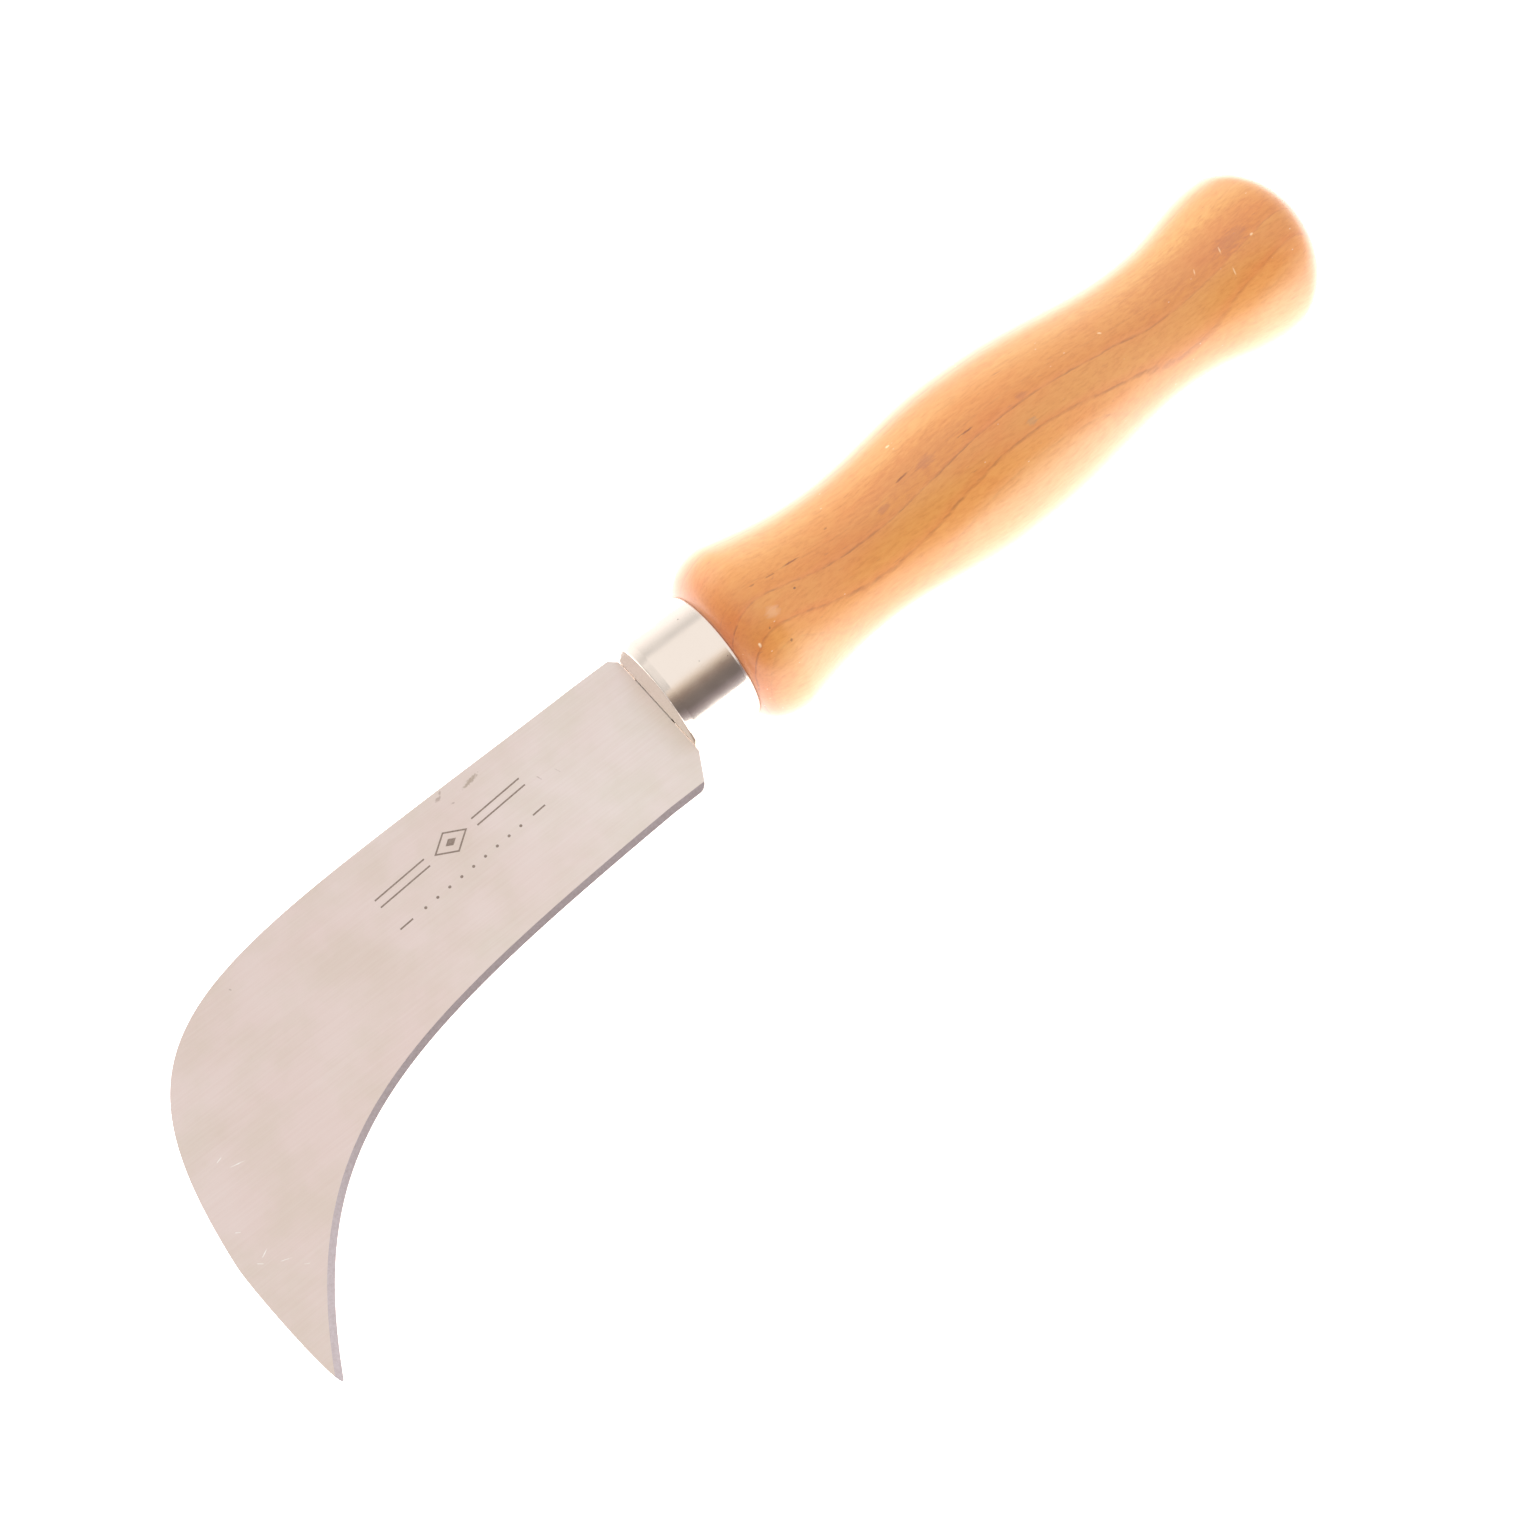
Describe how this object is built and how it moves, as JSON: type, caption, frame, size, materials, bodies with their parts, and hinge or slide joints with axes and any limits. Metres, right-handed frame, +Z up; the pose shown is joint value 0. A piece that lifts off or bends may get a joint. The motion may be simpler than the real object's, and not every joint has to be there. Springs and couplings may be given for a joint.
{
  "type": "hooked hand knife",
  "caption": "Hand knife with a broad hooked steel blade ground along its inner curve, a plain metal ferrule and a turned hardwood handle with waists and swells.",
  "frame": {"origin": "middle of the knife's outline seen from above, on the surface that the knife lies on", "axes": "+X along the handle from the blade to the butt, +Y from the cutting edge to the spine, +Z up out of the blade's upper face, with the knife lying on its side"},
  "size_m": [0.2306, 0.0678, 0.0305],
  "materials": {
    "blade_steel": "satin, fine belt-polished",
    "ferrule_plating": "bright nickel plate",
    "handle_wood": "clear satin lacquer over light hardwood",
    "bedding_resin": "cured filled resin"
  },
  "bodies": {
    "root": {"blade": "blade_steel", "ferrule": "ferrule_plating", "handle": "handle_wood", "tang_bedding": "bedding_resin"}
  },
  "joints": []
}
